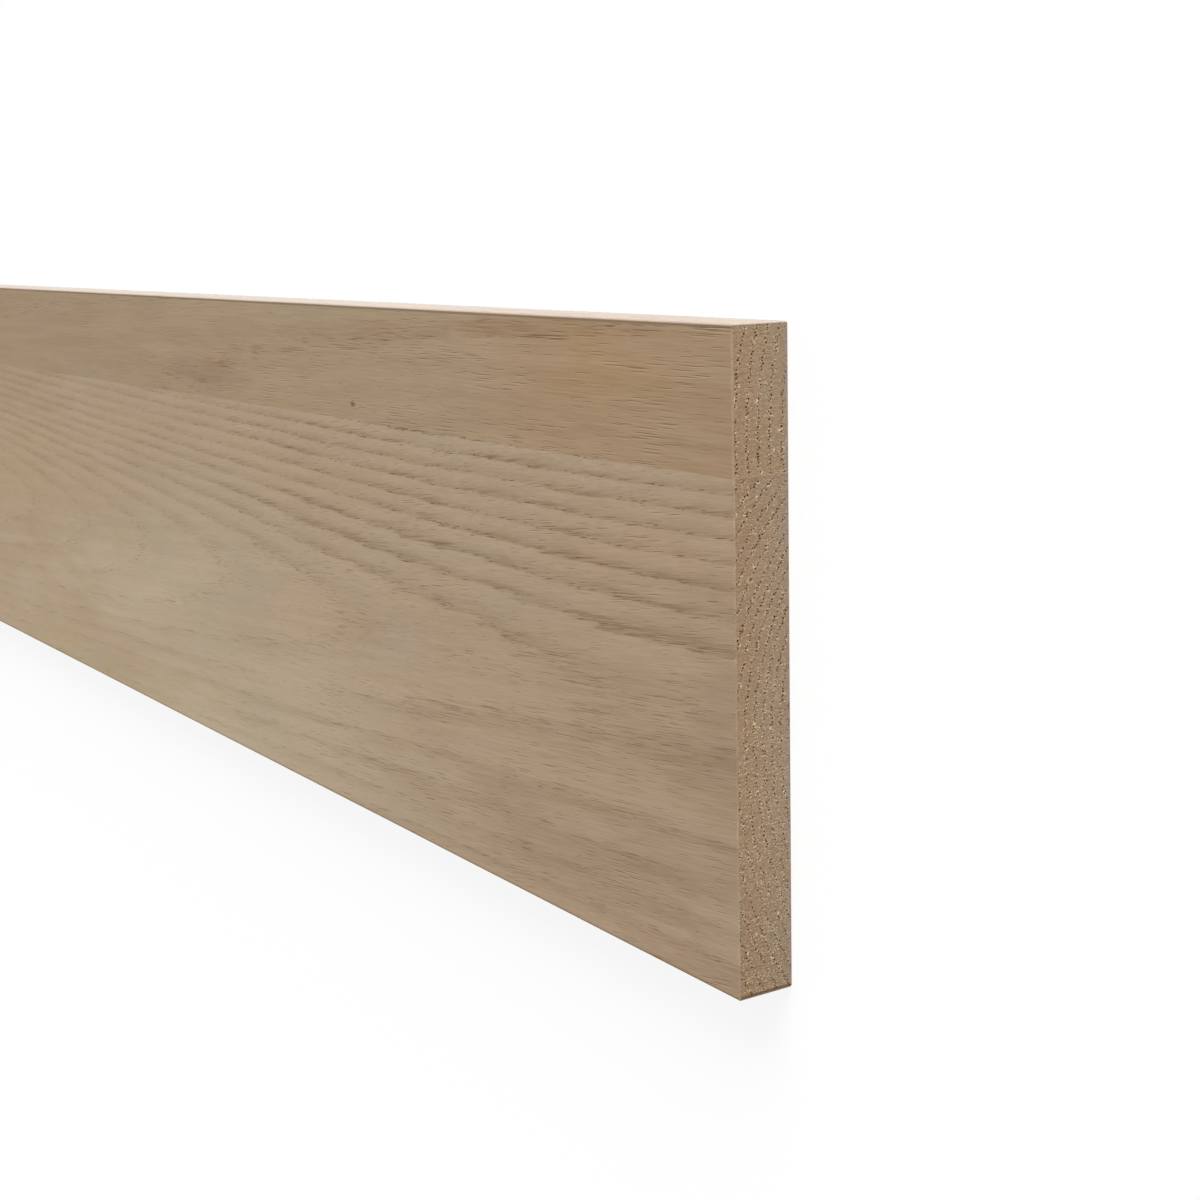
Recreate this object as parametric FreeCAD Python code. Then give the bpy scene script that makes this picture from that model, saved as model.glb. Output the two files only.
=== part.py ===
import FreeCAD, Part
import os

# Edge-glued hardwood stair riser board, lying on its back face.
# Millimetres. The origin is the middle of the underside, +X runs along the board,
# +Y points to the edge that meets the tread above, and +Z points out of the show face.

# Driving dimensions
board_length = 1066.8
board_width = 190.5
board_thickness = 19.05
upper_stave_width = 41.5
long_arris_radius = 0.7
end_arris_radius = 0.5

# The glue joint runs the whole length, one stave width below the upper edge
upper_edge_y = board_width / 2
lower_edge_y = -board_width / 2
joint_y = upper_edge_y - upper_stave_width


def rounded_section():
    """The board's cross-section in the YZ plane, a rectangle with its four long arrises eased."""
    corners = [
        (lower_edge_y, 0.0),
        (upper_edge_y, 0.0),
        (upper_edge_y, board_thickness),
        (lower_edge_y, board_thickness),
    ]
    points = [FreeCAD.Vector(-board_length / 2, y, z) for y, z in corners]
    outline = Part.makePolygon(points + points[:1])
    blank = Part.Face(outline).extrude(FreeCAD.Vector(board_length, 0, 0))
    return blank.makeFillet(long_arris_radius, edges_along_x(blank))


def edges_along_x(solid):
    """The four straight edges that run from end to end."""
    return [edge for edge in solid.Edges if abs(edge.tangentAt(edge.FirstParameter).x) > 0.999]


def edges_round_ends(solid):
    """The closed ring of edges round each sawn end."""
    end_x = board_length / 2
    return [edge for edge in solid.Edges if abs(abs(edge.CenterOfMass.x) - end_x) < 1e-6]


def finished_board():
    """The glued-up blank after planing, cross-cutting and easing, still whole."""
    planed = rounded_section()
    return planed.makeFillet(end_arris_radius, edges_round_ends(planed))


def stave(board, low_y, high_y):
    """The stave between two heights across the board, with a flat glue face and square glue corners."""
    slab = Part.makeBox(
        board_length,
        high_y - low_y,
        board_thickness,
        FreeCAD.Vector(-board_length / 2, low_y, 0),
    )
    return board.common(slab).Solids[0]


def main():
    os.makedirs("parts", exist_ok=True)
    board = finished_board()
    staves = {
        "upper_stave": stave(board, joint_y, upper_edge_y),
        "lower_stave": stave(board, lower_edge_y, joint_y),
    }
    for name, solid in staves.items():
        solid.exportStep(f"parts/{name}.step")
        box = solid.BoundBox
        print(f"{name}: {box.XLength:.2f} x {box.YLength:.2f} x {box.ZLength:.2f} mm")


main()
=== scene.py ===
# %% [markdown]
# # A stair riser board of edge-glued hardwood
# The real board is two staves of one pale, ring-porous hardwood, glued edge to edge, planed flush,
# cross-cut with a saw and eased with sandpaper. It carries no finish, so everything that the eye
# reads is the wood itself: rings, rows of open vessels, and the tone of each stave.
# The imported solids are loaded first, because every size below is taken from them.

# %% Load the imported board
import math
import random

import bmesh
import bpy
from mathutils import Matrix, Vector, noise
from mathutils.geometry import delaunay_2d_cdt


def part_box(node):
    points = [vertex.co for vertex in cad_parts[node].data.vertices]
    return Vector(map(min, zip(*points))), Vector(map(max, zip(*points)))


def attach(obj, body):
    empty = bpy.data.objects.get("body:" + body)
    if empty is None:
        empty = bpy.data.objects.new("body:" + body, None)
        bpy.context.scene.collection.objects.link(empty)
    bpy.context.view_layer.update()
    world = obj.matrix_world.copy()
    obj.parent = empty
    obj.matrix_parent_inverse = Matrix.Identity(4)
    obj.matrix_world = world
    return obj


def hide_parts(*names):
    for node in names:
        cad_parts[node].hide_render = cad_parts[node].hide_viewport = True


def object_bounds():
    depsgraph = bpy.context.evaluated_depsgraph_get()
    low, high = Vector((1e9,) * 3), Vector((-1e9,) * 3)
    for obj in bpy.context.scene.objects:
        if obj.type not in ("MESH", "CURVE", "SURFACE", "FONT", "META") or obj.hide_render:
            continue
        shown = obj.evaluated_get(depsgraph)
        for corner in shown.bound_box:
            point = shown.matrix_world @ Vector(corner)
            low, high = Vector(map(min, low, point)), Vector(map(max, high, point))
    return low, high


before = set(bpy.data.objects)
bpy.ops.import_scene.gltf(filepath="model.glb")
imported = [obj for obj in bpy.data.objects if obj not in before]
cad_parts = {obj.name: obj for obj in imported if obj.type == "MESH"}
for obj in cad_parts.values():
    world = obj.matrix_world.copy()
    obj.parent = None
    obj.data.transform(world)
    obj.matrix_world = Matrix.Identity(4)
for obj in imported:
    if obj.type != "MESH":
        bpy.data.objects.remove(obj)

MM = 0.001
cad_low, cad_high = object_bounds()
length_mm, width_mm, face_mm = (cad_high - cad_low) / MM
right_end = cad_high.x / MM
upper_edge = cad_high.y / MM
lower_edge = cad_low.y / MM
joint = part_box("upper_stave")[0].y / MM
print(f"board {length_mm:.1f} x {width_mm:.1f} x {face_mm:.2f} mm,",
      f"glue joint {upper_edge - joint:.1f} mm below the upper edge")

# %% [markdown]
# ## Where the camera stands
# The board lies on its back, and the camera looks down on its show face past the sawn right end.
# A camera can be turned by angles, but it is easier to check when it is given as a station, a point
# to aim at and a small roll: each is a distance that can be measured on the board. The width of the
# board runs up the picture, so the picture's upright is the board's +Y and not the floor's +Z.

# %% Camera
camera_past_end = 426.7
camera_above_lower_edge = 219.0
camera_above_floor = 338.8
aim_in_from_end = 67.55
aim_above_lower_edge = 106.0
camera_roll = math.radians(1.43)
sensor_width = 36.0
lens_length = 59.7
nearest_shown = 0.01

station = Vector((right_end + camera_past_end, lower_edge + camera_above_lower_edge,
                  camera_above_floor)) * MM
aim = Vector((right_end - aim_in_from_end, lower_edge + aim_above_lower_edge, face_mm)) * MM
view_line = (aim - station).normalized()
level = view_line.cross(Vector((0, 1, 0))).normalized()
picture_right = level * math.cos(camera_roll) - level.cross(view_line) * math.sin(camera_roll)
picture_up = picture_right.cross(view_line)

camera = bpy.data.objects.new("camera", bpy.data.cameras.new("camera"))
camera.data.sensor_width = sensor_width
camera.data.lens = lens_length
camera.data.clip_start = nearest_shown
turned = Matrix((picture_right, picture_up, -view_line)).transposed().to_4x4()
camera.matrix_world = Matrix.Translation(station) @ turned
bpy.context.collection.objects.link(camera)
bpy.context.scene.camera = camera
bpy.context.scene.view_settings.view_transform = "Standard"
print(f"camera {(aim - station).length:.3f} m from its aim, looking down",
      f"{math.degrees(math.asin(-view_line.z)):.1f} degrees")

# %% [markdown]
# ## What differs between the two staves
# Both staves are made the same way and differ only in values: where the pith of their tree lay, how
# wide its rings grew, how far its trunk was bowed, and the tone of the wood. The wide stave was cut
# with its pith well behind the board and low down; the narrow one is nearly tangent to its rings, so
# its face shows patches instead of lines. Lengths are millimetres, and a place along the board is
# counted from its right end, so it is negative.

# %% Stave values
def srgb(red, green, blue):
    """An 8-bit screen colour as the linear colour that shaders use."""
    def linear(level):
        share = level / 255
        return share / 12.92 if share <= 0.04045 else ((share + 0.055) / 1.055) ** 2.4
    return (linear(red), linear(green), linear(blue), 1.0)


class Stave:
    """One stave: its place in the board, its place in the log, and its colours."""
    def __init__(self, node, slot, outer_y, outward, **values):
        self.node = node
        self.slot = slot
        self.outer_y = outer_y
        self.outward = outward
        self.width = abs(outer_y - joint)
        self.__dict__.update(values)


class Stain:
    """A spot of another tone: its centre along the board and below the upper edge, half sizes, colour."""
    def __init__(self, along, down, half_length, half_height, colour, amount,
                 core=0.0, grain=0.05, depth=60.0):
        self.centre_x = right_end + along
        self.centre_y = upper_edge - down
        self.half_length = half_length
        self.half_height = half_height
        self.colour = colour
        self.amount = amount
        self.core = core
        self.grain = grain
        self.depth = depth


def pin(along, down, half_length, half_height, colour, amount):
    """A small dark spot with a firm rim that reaches only a little way into the wood."""
    return Stain(along, down, half_length, half_height, colour, amount, core=0.45, grain=1.1, depth=3.0)


lower = Stave(
    "lower_stave", "lower_stave_wood", lower_edge, -1,
    pith_y=upper_edge - 114.0, pith_z=face_mm - 103.0, pith_slope_y=0.027, pith_slope_z=0.0,
    bow_length=360.0, bow_y=-0.052, bow_z=-0.0433,
    upper_squeeze=1.15, lower_squeeze=0.85, squeeze_gain=-0.00032, wander=1.5, feather=1.8, grain_slope=0.09,
    ring_width=3.445, first_ring=87.2, swing=-0.5, swing_start=87.2, swing_length=76.0,
    weak_side=0.33, dark_years=5.5, spring_amount=0.55, cool_amount=0.28,
    summer_spacing=0.44, summer_length=22.0, summer_bore=0.40, summer_open=0.46, spring_open=0.80,
    pale_from=-60.0, pale_to=-400.0, pale_least=0.15,
    brown_wood=srgb(168, 145, 119), pale_wood=srgb(183, 164, 138),
    warm_wood=srgb(171, 143, 117), grey_wood=srgb(165, 148, 125), cool_wood=srgb(166, 155, 140),
    spring_wood=srgb(132, 107, 79), vessel_wood=srgb(104, 68, 28), sawn_wood=srgb(157, 131, 104),
    sawn_grey=srgb(157, 137, 115),
    # painted shade: the front arris of the lower edge, and with sawn_arris_amount the foot of the sawn end,
    # are darkened as if in shadow
    edge_shade_and_highlight=srgb(84, 72, 60), edge_shade_and_highlight_amount=0.7,
    edge_back_tone_and_highlight=srgb(150, 128, 104), edge_back_tone_and_highlight_amount=0.1,
    arris_wood=srgb(132, 107, 79), arris_amount=0.3, sawn_arris_amount=0.85, streak=2.2, summer_lift=5.0,
    # painted shade: the wide stave's arrises are darkened, which dims the light they catch
    arris_wear_and_shade_wood=srgb(148, 125, 100), arris_wear_and_shade_amount=0.4,
    stains=[Stain(-640.0, 100.0, 160.0, 85.0, srgb(169, 147, 115), 0.7),
            Stain(-580.0, 180.0, 220.0, 24.0, srgb(172, 151, 119), 0.6),
            Stain(-640.0, 48.0, 130.0, 24.0, srgb(158, 137, 110), 0.5),
            Stain(0.0, 125.0, 45.0, 80.0, srgb(154, 131, 106), 0.6),
            Stain(-70.0, 166.0, 160.0, 27.0, srgb(158, 132, 109), 0.55),
            pin(-20.1, 175.5, 0.5, 0.45, srgb(72, 54, 38), 0.6)])
upper = Stave(
    "upper_stave", "upper_stave_wood", upper_edge, 1,
    pith_y=upper_edge - 30.0, pith_z=face_mm - 120.4, pith_slope_y=0.010, pith_slope_z=0.0097,
    bow_length=360.0, bow_y=0.0, bow_z=0.0,
    upper_squeeze=1.0, lower_squeeze=1.0, squeeze_gain=0.0, wander=2.2, feather=1.6, grain_slope=0.0,
    ring_width=4.2, first_ring=102.9, swing=0.1, swing_start=99.0, swing_length=26.0,
    weak_side=1.0, dark_years=-99.0, spring_amount=0.40, cool_amount=0.0,
    summer_spacing=0.46, summer_length=24.0, summer_bore=0.40, summer_open=0.42, spring_open=0.50,
    pale_from=-70.0, pale_to=-190.0, pale_least=1.0,
    brown_wood=srgb(165, 137, 108), pale_wood=srgb(164, 143, 116),
    warm_wood=srgb(164, 137, 108), grey_wood=srgb(158, 141, 115), cool_wood=srgb(158, 147, 133),
    spring_wood=srgb(142, 112, 82), vessel_wood=srgb(100, 64, 26), sawn_wood=srgb(159, 132, 103),
    sawn_grey=srgb(158, 137, 112),
    # painted highlight: the upper edge is pale at its arris and nearly white behind it, as if in a glare of
    # light; with sawn_arris_amount it also pales the top of the sawn end
    edge_shade_and_highlight=srgb(174, 162, 153), edge_shade_and_highlight_amount=0.6,
    edge_back_tone_and_highlight=srgb(193, 191, 190), edge_back_tone_and_highlight_amount=0.42,
    arris_wood=srgb(128, 109, 89), arris_amount=0.9, sawn_arris_amount=0.25, streak=3.0, summer_lift=0.0,
    arris_wear_and_shade_wood=srgb(205, 186, 160), arris_wear_and_shade_amount=0.08,
    stains=[Stain(-600.0, 24.0, 260.0, 45.0, srgb(153, 130, 104), 0.55),
            Stain(-368.0, 34.0, 52.0, 9.0, srgb(149, 124, 101), 0.75),
            Stain(-62.0, 14.0, 50.0, 10.0, srgb(170, 137, 102), 0.6),
            pin(-229.9, 35.6, 1.9, 1.3, srgb(100, 86, 62), 0.85)])
staves = [lower, upper]
for stave in staves:
    print(f"{stave.node}: {stave.width:.1f} mm wide, rings {stave.ring_width} mm,",
          f"pith {face_mm - stave.pith_z:.1f} mm behind the show face")

# %% [markdown]
# ## The section of a stave
# A stave's section is a rectangle with two square corners at the glue joint and two corners eased by
# sandpaper. It is written as one walk round the section: along the back, over the outer edge, along
# the show face, and down the glue face. A sweep along the board then only repeats that walk.

# %% Walk round the section
arris_steps = 4
edge_steps = 8
face_step = 4.0
usual_arris = 0.72
end_arris = 0.5


def run(start, stop, count):
    """Points on a straight line, without its last one."""
    return [start.lerp(stop, i / count) for i in range(count)]


def turn(centre, first, last, radius):
    """Points on a quarter circle from one direction to another, without its last one."""
    angles = [math.pi / 2 * i / arris_steps for i in range(arris_steps)]
    return [centre + (first * math.cos(angle) + last * math.sin(angle)) * radius for angle in angles]


def stave_section(stave, arris, inset):
    """The walk round a section whose outside is drawn in by an inset, as points (Y, Z)."""
    out = Vector((stave.outward, 0))
    up = Vector((0, 1))
    radius = arris - inset
    back_corner = Vector((stave.outer_y - stave.outward * arris, arris))
    front_corner = Vector((stave.outer_y - stave.outward * arris, face_mm - arris))
    glue_back = Vector((joint, inset))
    glue_front = Vector((joint, face_mm - inset))
    face_steps = round(stave.width / face_step)
    points = run(glue_back, back_corner - up * radius, face_steps)
    points += turn(back_corner, -up, out, radius)
    points += run(back_corner + out * radius, front_corner + out * radius, edge_steps)
    points += turn(front_corner, out, up, radius)
    points += run(front_corner + up * radius, glue_front, face_steps)
    points += run(glue_front, glue_back, edge_steps)
    return points


def section_sides(stave):
    """Which side each step of the walk belongs to, and whether it is on a rounded arris."""
    face_steps = round(stave.width / face_step)
    flat_edge = [("edge", False)] * edge_steps
    round_edge = [("edge", True)] * arris_steps
    return ([("back", False)] * face_steps + round_edge + flat_edge + round_edge
            + [("front", False)] * face_steps + [("glue", False)] * edge_steps)


for stave in staves:
    print(f"{stave.node}: {len(section_sides(stave))} points round the section")

# %% [markdown]
# ## Stations along the board
# The section is set at even stations along the board, with a few more at each end, where it draws in
# over a quarter circle: that is the eased end arris. Hand sanding never eases a corner evenly, so the
# radius of the long arrises wanders a little from station to station, by a smooth noise.

# %% Stations
station_count = 180
end_arris_steps = 4
arris_wander = 0.14
arris_wave = 45.0


def stations():
    """Pairs of a place along X and the inset of the section there, from the left end to the right."""
    angles = [math.pi / 2 * i / end_arris_steps for i in range(end_arris_steps + 1)]
    over_end = [(length_mm / 2 - end_arris * (1 - math.sin(angle)), end_arris * (1 - math.cos(angle)))
                for angle in angles]
    middle = [(length_mm * (i / station_count - 0.5), 0.0) for i in range(1, station_count)]
    return [(-x, inset) for x, inset in reversed(over_end)] + middle + over_end


def eased_radius(stave, x):
    """The radius that the sandpaper left on the long arrises at a place along the board."""
    return usual_arris + arris_wander * noise.noise((x / arris_wave, stave.outer_y, 0.5))


print(len(stations()), "stations, arris radius",
      f"{eased_radius(lower, 0):.2f} mm at the middle of the lower edge")

# %% [markdown]
# ## Mouths of the vessels
# On a sawn end each vessel is cut across and shows as a small round hole. The holes of one spring stand
# in a row along the ring. A bump map could hint at them, but the end is seen close up, so they are
# modelled: first their places are worked out from the same pith and ring widths that colour the faces,
# then every hole becomes a real pit. Summer vessels are smaller and scattered.

# %% Rows of vessels
row_pitch = 0.50
spring_bore = (0.19, 0.44)
summer_bore = (0.13, 0.22)
rim_overlap = 0.05
edge_clearance = 0.55
youngest_year, oldest_year = -14, 18
closing_in_rounds = 12
least_depth = 1.0


def ring_radius(stave, year):
    """Where a year starts, as a distance from the pith. The swing depends on it, so it is closed in on."""
    radius = stave.first_ring
    for _ in range(closing_in_rounds):
        spell = math.sin(math.tau * (radius - stave.swing_start) / stave.swing_length)
        radius = stave.first_ring + stave.ring_width * (year + stave.swing * spell)
    return radius


def ring_row(stave, year, along):
    """Points (Y, Z) on a ring where it crosses the section, one pitch apart."""
    radius = ring_radius(stave, year) + spring_bore[1]
    bowed = stave.bow_length - math.hypot(along, stave.bow_length)
    pith_y = stave.pith_y + stave.pith_slope_y * along + stave.bow_y * bowed
    pith_z = stave.pith_z + stave.pith_slope_z * along + stave.bow_z * bowed
    gain = 1 + stave.squeeze_gain * bowed
    y = min(stave.outer_y, joint)
    while y < max(stave.outer_y, joint):
        squeeze = gain * (stave.upper_squeeze if y > pith_y else stave.lower_squeeze)
        left_over = radius ** 2 - (squeeze * (y - pith_y)) ** 2
        if left_over <= least_depth ** 2:
            y += row_pitch
            continue
        depth = math.sqrt(left_over)
        if 0 < pith_z + depth < face_mm:
            yield y, pith_z + depth
        slope = squeeze ** 2 * (y - pith_y) / depth
        y += row_pitch / math.hypot(1, slope)


for stave in staves:
    print(f"{stave.node}: the first year starts {ring_radius(stave, 0):.1f} mm from the pith")

# %% Places of the mouths
summer_per_mm2 = 0.06
weak_summer_per_mm2 = 0.16
tidy_scatter, loose_scatter = 0.40, 0.55
loose_below_pith = 2.0
firm_above_edge = 24.0
gap_in_row, gap_in_loose_row = 0.15, 0.35
loose_bore = 0.95


class Spots:
    """Round spots on a sawn end that keep clear of each other and of the edges."""
    def __init__(self, stave):
        self.low = min(stave.outer_y, joint) + edge_clearance
        self.high = max(stave.outer_y, joint) - edge_clearance
        self.cells = {}

    def room(self, y, z, size, gap):
        """Whether a spot of a size fits here with a gap round it."""
        inside = self.low < y < self.high and edge_clearance < z < face_mm - edge_clearance
        near = [spot for i in (-1, 0, 1) for j in (-1, 0, 1)
                for spot in self.cells.get((math.floor(y) + i, math.floor(z) + j), [])]
        return inside and all(math.hypot(y - other_y, z - other_z) > size + other_size + gap
                              for other_y, other_z, other_size in near)

    def take(self, y, z, size, gap):
        """Take the spot if there is room for it, and say whether there was."""
        free = self.room(y, z, size, gap)
        if free:
            self.cells.setdefault((math.floor(y), math.floor(z)), []).append((y, z, size))
        return free


def is_weak(stave, y):
    """Whether a point of the end lies on the side of the pith where this stave's rings are weak."""
    return stave.weak_side < 1 and y < stave.pith_y + loose_below_pith


def vessel_mouths(stave, along, draw, spots):
    """All the holes in a sawn end: spring rows first, then scattered summer vessels."""
    wanted = []
    for year in range(youngest_year, oldest_year):
        for y, z in ring_row(stave, year, along):
            loose = is_weak(stave, y) and abs(y - stave.outer_y) > firm_above_edge
            scatter = loose_scatter if loose else tidy_scatter
            y += draw.uniform(-scatter, scatter)
            z += draw.uniform(-scatter, scatter)
            if draw.random() > (gap_in_loose_row if loose else gap_in_row):
                wanted.append((y, z, draw.uniform(*spring_bore) * (loose_bore if loose else 1.0)))
    for _ in range(round(stave.width * face_mm * weak_summer_per_mm2)):
        y = draw.uniform(spots.low, spots.high)
        if is_weak(stave, y) or draw.random() < summer_per_mm2 / weak_summer_per_mm2:
            wanted.append((y, draw.uniform(0, face_mm), draw.uniform(*summer_bore)))
    return [hole for hole in wanted if spots.take(*hole, -rim_overlap)]


for stave in staves:
    holes = vessel_mouths(stave, 0.0, random.Random(1), Spots(stave))
    print(f"{stave.node}: {len(holes)} vessels open on the right end")

# %% [markdown]
# ## The sawn end
# The end is one flat cut, so its points are spread in two dimensions and joined by a Delaunay
# triangulation, which keeps the outline and makes even triangles round every hole. Each hole gets a
# ring of rim points and one sunk centre, and on many holes two of the rim points stand up as a lip.
# Beside many holes stands a tuft of torn fibre, and the saw left faint ripples. Two point attributes,
# hollow and tuft, tell the material where these are. Lips and tufts are raised, and the material also
# paints them pale as a highlight of their lit sides.

# %% Points of a sawn end
rim_points = 6
filler_step = 0.85
filler_jitter = 0.28
filler_row, filler_column = 0.1, 0.75
saw_ripple = 0.018
saw_pitch = 1.35
saw_lean = 0.05
saw_stray, saw_patch = 0.6, 9.0
tuft_share = 0.75
tuft_tries = 4
tuft_height = 0.05
tuft_half_lengths = (0.06, 0.28)
tuft_half_width = 0.16
tuft_highlight_share = (0.3, 1.0)
tuft_points = 6
tuft_gap = 0.01
pit_darkness = (0.75, 1.0)
rim_darkness = 0.5
rim_reach = (0.85, 1.15)
bore_depth = 1.4
lip_share = 0.5
lip_highlight_share = (0.2, 0.6)
lip_points = 2
stray_tufts_per_mm2, weak_stray_tufts_per_mm2 = 0.06, 1.10
clump_size = 5.0
clump_limits = (-0.5, 0.3)
filler_gap = 0.2


def saw_depth(y, z):
    """How far the saw's ripple dips below the end at a point."""
    stray = saw_stray * noise.noise((y / saw_patch, z / saw_patch, 2.0))
    wave = math.sin(math.tau * (y + saw_lean * z + stray) / saw_pitch)
    return tuft_height + saw_ripple * (1 + wave)


def tuft_of_fibre(y, z, half_length, draw):
    """A short raised ridge with a ring of plain points round it, which keeps it small. Its tips carry a
    paleness that the material paints as a highlight.
    """
    lean = draw.uniform(0, math.pi)
    pale = draw.uniform(*tuft_highlight_share)
    lengthwise = Vector((math.cos(lean), math.sin(lean)))
    crosswise = Vector((-lengthwise.y, lengthwise.x))
    middle = Vector((y, z))
    tips = [middle + lengthwise * half_length * way for way in (-1, 1)]
    points = [(tip.x, tip.y, 0.0, 0.0, pale) for tip in tips]
    for i in range(tuft_points):
        angle = math.tau * i / tuft_points
        foot = (middle + lengthwise * (half_length + tuft_half_width) * math.cos(angle)
                + crosswise * tuft_half_width * math.sin(angle))
        points.append((foot.x, foot.y, saw_depth(foot.x, foot.y), 0.0, 0.0))
    return points


def vessel_pit(y, z, bore, draw):
    """A sunk centre and a ring of rim points, some of which stand up as a lip of torn fibre, painted pale as
    a highlight.
    """
    points = [(y, z, tuft_height + bore * bore_depth, draw.uniform(*pit_darkness), 0.0)]
    first = draw.uniform(0, math.tau)
    lip = draw.uniform(*lip_highlight_share) if draw.random() < lip_share else 0.0
    for i in range(rim_points):
        angle = first + math.tau * i / rim_points
        reach = bore * draw.uniform(*rim_reach)
        rim_y, rim_z = y + reach * math.cos(angle), z + reach * math.sin(angle)
        raised = lip if i < lip_points else 0.0
        points.append((rim_y, rim_z, saw_depth(rim_y, rim_z) * (1 - raised), rim_darkness, raised))
    return points


def end_points(stave, along, draw):
    """Inner points of a sawn end as (Y, Z, depth, hollow, tuft)."""
    spots = Spots(stave)
    holes = vessel_mouths(stave, along, draw, spots)
    points = [point for hole in holes for point in vessel_pit(*hole, draw)]
    for y, z, bore in holes:
        for _ in range(tuft_tries):
            angle = draw.uniform(0, math.tau)
            half_length = draw.uniform(*tuft_half_lengths)
            away = bore + half_length + tuft_half_width + tuft_gap
            tuft_y, tuft_z = y + away * math.cos(angle), z + away * math.sin(angle)
            if draw.random() < tuft_share and spots.take(tuft_y, tuft_z, half_length + tuft_half_width, 0.0):
                points += tuft_of_fibre(tuft_y, tuft_z, half_length, draw)
                break
    for _ in range(round(stave.width * face_mm * weak_stray_tufts_per_mm2)):
        y, z = draw.uniform(spots.low, spots.high), draw.uniform(0, face_mm)
        wanted = is_weak(stave, y) or draw.random() < stray_tufts_per_mm2 / weak_stray_tufts_per_mm2
        clumped = noise.noise((y / clump_size, z / clump_size, 7.7)) > draw.uniform(*clump_limits)
        half_length = draw.uniform(*tuft_half_lengths)
        if wanted and clumped and spots.take(y, z, half_length + tuft_half_width, 0.0):
            points += tuft_of_fibre(y, z, half_length, draw)
    for row in range(int(stave.width / filler_step)):
        for column in range(int(face_mm / filler_step)):
            y = spots.low + (row + filler_row) * filler_step + draw.uniform(-1, 1) * filler_jitter
            z = (column + filler_column) * filler_step + draw.uniform(-1, 1) * filler_jitter
            if spots.room(y, z, 0.0, filler_gap):
                points.append((y, z, saw_depth(y, z), 0.0, 0.0))
    return points


print(f"the saw's ripple is {2 * saw_ripple:.3f} mm deep, tufts stand up to {tuft_height} mm")

# %% [markdown]
# ## One stave as a closed mesh
# The sweep gives the planed sides and the triangulated cut closes each end. Both share their points
# along the end arris, so the stave is one watertight skin. Planed faces take the first material slot
# and sawn faces the second. While the faces are made, each is also laid on a flat map: the board is
# long and thin, so its sides are cut into equal lengths and stacked as strips, which gives the baked
# picture far more pixels to the millimetre than one long strip would.

# %% Strips of the flat map
map_pixels = 1024
map_margin = 4


def strip_sizes(stave):
    """Width and height in pixels of each strip: a side and a stretch of the board's length."""
    stretch = length_mm / stave.map_stretches
    heights = {"front": stave.width, "edge": face_mm, "back": stave.width, "glue": face_mm}
    sizes = {(side, i): (stretch * stave.map_scale[side], heights[side] * stave.map_scale[side])
             for side in heights for i in range(stave.map_stretches)}
    for i in range(2):
        sizes["end", i] = (stave.width * stave.map_scale["end"], face_mm * stave.map_scale["end"])
    return sizes


def lay_strips(stave):
    """Set the strips in rows from the bottom of the map, and hand back each one's lower left corner."""
    corners = {}
    left, bottom, row_height = map_margin, map_margin, 0
    for strip, (width, height) in strip_sizes(stave).items():
        if left + width + map_margin > map_pixels:
            left, bottom, row_height = map_margin, bottom + row_height + map_margin, 0
        corners[strip] = Vector((left, bottom))
        left += width + map_margin
        row_height = max(row_height, height)
    print(f"{stave.node}: strips fill {bottom + row_height:.0f} of {map_pixels} pixel rows")
    return corners


lower.map_stretches = 2
lower.map_scale = {"front": 1.88, "edge": 1.88, "back": 0.94, "glue": 0.9, "end": 4.4}
upper.map_stretches = 3
upper.map_scale = {"front": 2.8, "edge": 2.8, "back": 1.4, "glue": 0.9, "end": 11.5}
for stave in staves:
    stave.map_corners = lay_strips(stave)

# %% Sweep the planed sides
PLANED, SAWN = 0, 1
map_name = "OFBake"


def sweep_sides(mesh, stave):
    """Quads between the stations. Hands back the outline of the left end and of the right end."""
    flat_map = mesh.loops.layers.uv.verify()
    sides = section_sides(stave)
    nominal = stave_section(stave, usual_arris, 0.0)
    steps = [(nominal[(i + 1) % len(nominal)] - nominal[i]).length for i in range(len(nominal))]
    places = stations()
    outlines = []
    for x, inset in places:
        section = stave_section(stave, eased_radius(stave, x), inset)
        outlines.append([mesh.verts.new((x, point.x, point.y)) for point in section])
    for here in range(len(places) - 1):
        middle = (places[here][0] + places[here + 1][0]) / 2
        stretch = int((middle / length_mm + 0.5) * stave.map_stretches)
        start = length_mm * (stretch / stave.map_stretches - 0.5)
        on_end_arris = places[here][1] + places[here + 1][1] > 0
        walked = {}
        for i, (side, rounded) in enumerate(sides):
            j = (i + 1) % len(sides)
            corners = [outlines[here][i], outlines[here][j], outlines[here + 1][j], outlines[here + 1][i]]
            quad = mesh.faces.new(corners)
            quad.smooth = rounded and not on_end_arris
            quad.material_index = PLANED
            up = walked.get(side, 0.0)
            walked[side] = up + steps[i]
            heights = (up, walked[side], walked[side], up)
            for loop, height in zip(quad.loops, heights):
                spot = Vector((loop.vert.co.x - start, height)) * stave.map_scale[side]
                loop[flat_map].uv = (stave.map_corners[side, stretch] + spot) / map_pixels
    return outlines[0], outlines[-1]


# %% Close the sawn ends
INSIDE_ONLY = 1
same_point = 1e-5


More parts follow.
